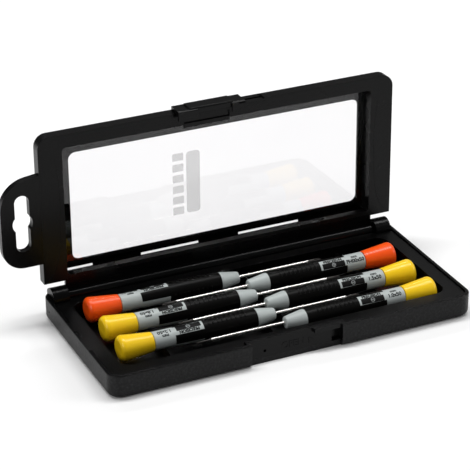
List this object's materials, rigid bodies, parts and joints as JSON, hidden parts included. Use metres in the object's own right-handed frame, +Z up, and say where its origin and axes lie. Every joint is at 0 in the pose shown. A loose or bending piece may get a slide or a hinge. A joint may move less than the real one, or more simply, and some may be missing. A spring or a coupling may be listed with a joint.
{
  "type": "precision screwdriver set",
  "caption": "Hard plastic case with a hinged window lid, hang tab and slide latch, holding slim precision screwdrivers with free-turning caps.",
  "frame": {"origin": "middle of the base's underside, where the case stands on the bench", "axes": "+X runs along the case to its right end seen from the latch side, +Y towards the hinge, +Z up"},
  "size_m": [0.2288, 0.1035, 0.1065],
  "materials": {
    "case_black": "fine spark-eroded texture",
    "latch_black": "smooth satin",
    "window_clear": "clear moulded plastic",
    "cap_orange": "glossy",
    "cap_yellow": "glossy",
    "core_grey": "satin",
    "sleeve_black": "soft-touch, ribbed",
    "blade_steel": "plated, blackened tip",
    "pin_steel": "drawn"
  },
  "bodies": {
    "case": {"base_shell": "case_black", "driver_cradle": "case_black", "hinge_pin_left": "pin_steel", "hinge_pin_right": "pin_steel"},
    "lid": {"lid_frame": "case_black", "lid_liner": "case_black", "window_pane": "window_clear"},
    "latch": {"slide_latch": "latch_black"},
    "phillips_large": {"phillips_large_core": "core_grey", "phillips_large_sleeve": "sleeve_black", "phillips_large_axle": "pin_steel", "phillips_large_blade": "blade_steel"},
    "phillips_large_cap": {"phillips_large_cap": "cap_orange"},
    "phillips_small": {"phillips_small_core": "core_grey", "phillips_small_sleeve": "sleeve_black", "phillips_small_axle": "pin_steel", "phillips_small_blade": "blade_steel"},
    "phillips_small_cap": {"phillips_small_cap": "cap_orange"},
    "slotted_18": {"slotted_18_core": "core_grey", "slotted_18_sleeve": "sleeve_black", "slotted_18_axle": "pin_steel", "slotted_18_blade": "blade_steel"},
    "slotted_18_cap": {"slotted_18_cap": "cap_yellow"},
    "slotted_15": {"slotted_15_core": "core_grey", "slotted_15_sleeve": "sleeve_black", "slotted_15_axle": "pin_steel", "slotted_15_blade": "blade_steel"},
    "slotted_15_cap": {"slotted_15_cap": "cap_yellow"},
    "slotted_12": {"slotted_12_core": "core_grey", "slotted_12_sleeve": "sleeve_black", "slotted_12_axle": "pin_steel", "slotted_12_blade": "blade_steel"},
    "slotted_12_cap": {"slotted_12_cap": "cap_yellow"},
    "slotted_10": {"slotted_10_core": "core_grey", "slotted_10_sleeve": "sleeve_black", "slotted_10_axle": "pin_steel", "slotted_10_blade": "blade_steel"},
    "slotted_10_cap": {"slotted_10_cap": "cap_yellow"}
  },
  "joints": [
    {"name": "lid_hinge", "type": "hinge", "parent": "case", "child": "lid", "pos_m": [0, 0.04255, 0.0119], "axis": [-1, 0, 0], "range_deg": [-91, 0]},
    {"name": "latch_slide", "type": "slide", "parent": "lid", "child": "latch", "axis": [1, 0, 0], "range_m": [0, 0.0126]},
    {"name": "phillips_large_lift", "type": "slide", "parent": "case", "child": "phillips_large", "axis": [0, 0, 1], "range_m": [0, 0.03]},
    {"name": "phillips_large_cap_spin", "type": "hinge", "parent": "phillips_large", "child": "phillips_large_cap", "pos_m": [-0.088, 0.02435, 0.0109], "axis": [1, 0, 0], "continuous": true},
    {"name": "phillips_small_lift", "type": "slide", "parent": "case", "child": "phillips_small", "axis": [0, 0, 1], "range_m": [0, 0.03]},
    {"name": "phillips_small_cap_spin", "type": "hinge", "parent": "phillips_small", "child": "phillips_small_cap", "pos_m": [0.0886, 0.01325, 0.0109], "axis": [-1, 0, 0], "continuous": true},
    {"name": "slotted_18_lift", "type": "slide", "parent": "case", "child": "slotted_18", "axis": [0, 0, 1], "range_m": [0, 0.03]},
    {"name": "slotted_18_cap_spin", "type": "hinge", "parent": "slotted_18", "child": "slotted_18_cap", "pos_m": [-0.088, 0.00215, 0.0109], "axis": [1, 0, 0], "continuous": true},
    {"name": "slotted_15_lift", "type": "slide", "parent": "case", "child": "slotted_15", "axis": [0, 0, 1], "range_m": [0, 0.03]},
    {"name": "slotted_15_cap_spin", "type": "hinge", "parent": "slotted_15", "child": "slotted_15_cap", "pos_m": [0.0886, -0.00895, 0.0109], "axis": [-1, 0, 0], "continuous": true},
    {"name": "slotted_12_lift", "type": "slide", "parent": "case", "child": "slotted_12", "axis": [0, 0, 1], "range_m": [0, 0.03]},
    {"name": "slotted_12_cap_spin", "type": "hinge", "parent": "slotted_12", "child": "slotted_12_cap", "pos_m": [-0.088, -0.02005, 0.0109], "axis": [1, 0, 0], "continuous": true},
    {"name": "slotted_10_lift", "type": "slide", "parent": "case", "child": "slotted_10", "axis": [0, 0, 1], "range_m": [0, 0.03]},
    {"name": "slotted_10_cap_spin", "type": "hinge", "parent": "slotted_10", "child": "slotted_10_cap", "pos_m": [0.0886, -0.03115, 0.0109], "axis": [-1, 0, 0], "continuous": true}
  ]
}
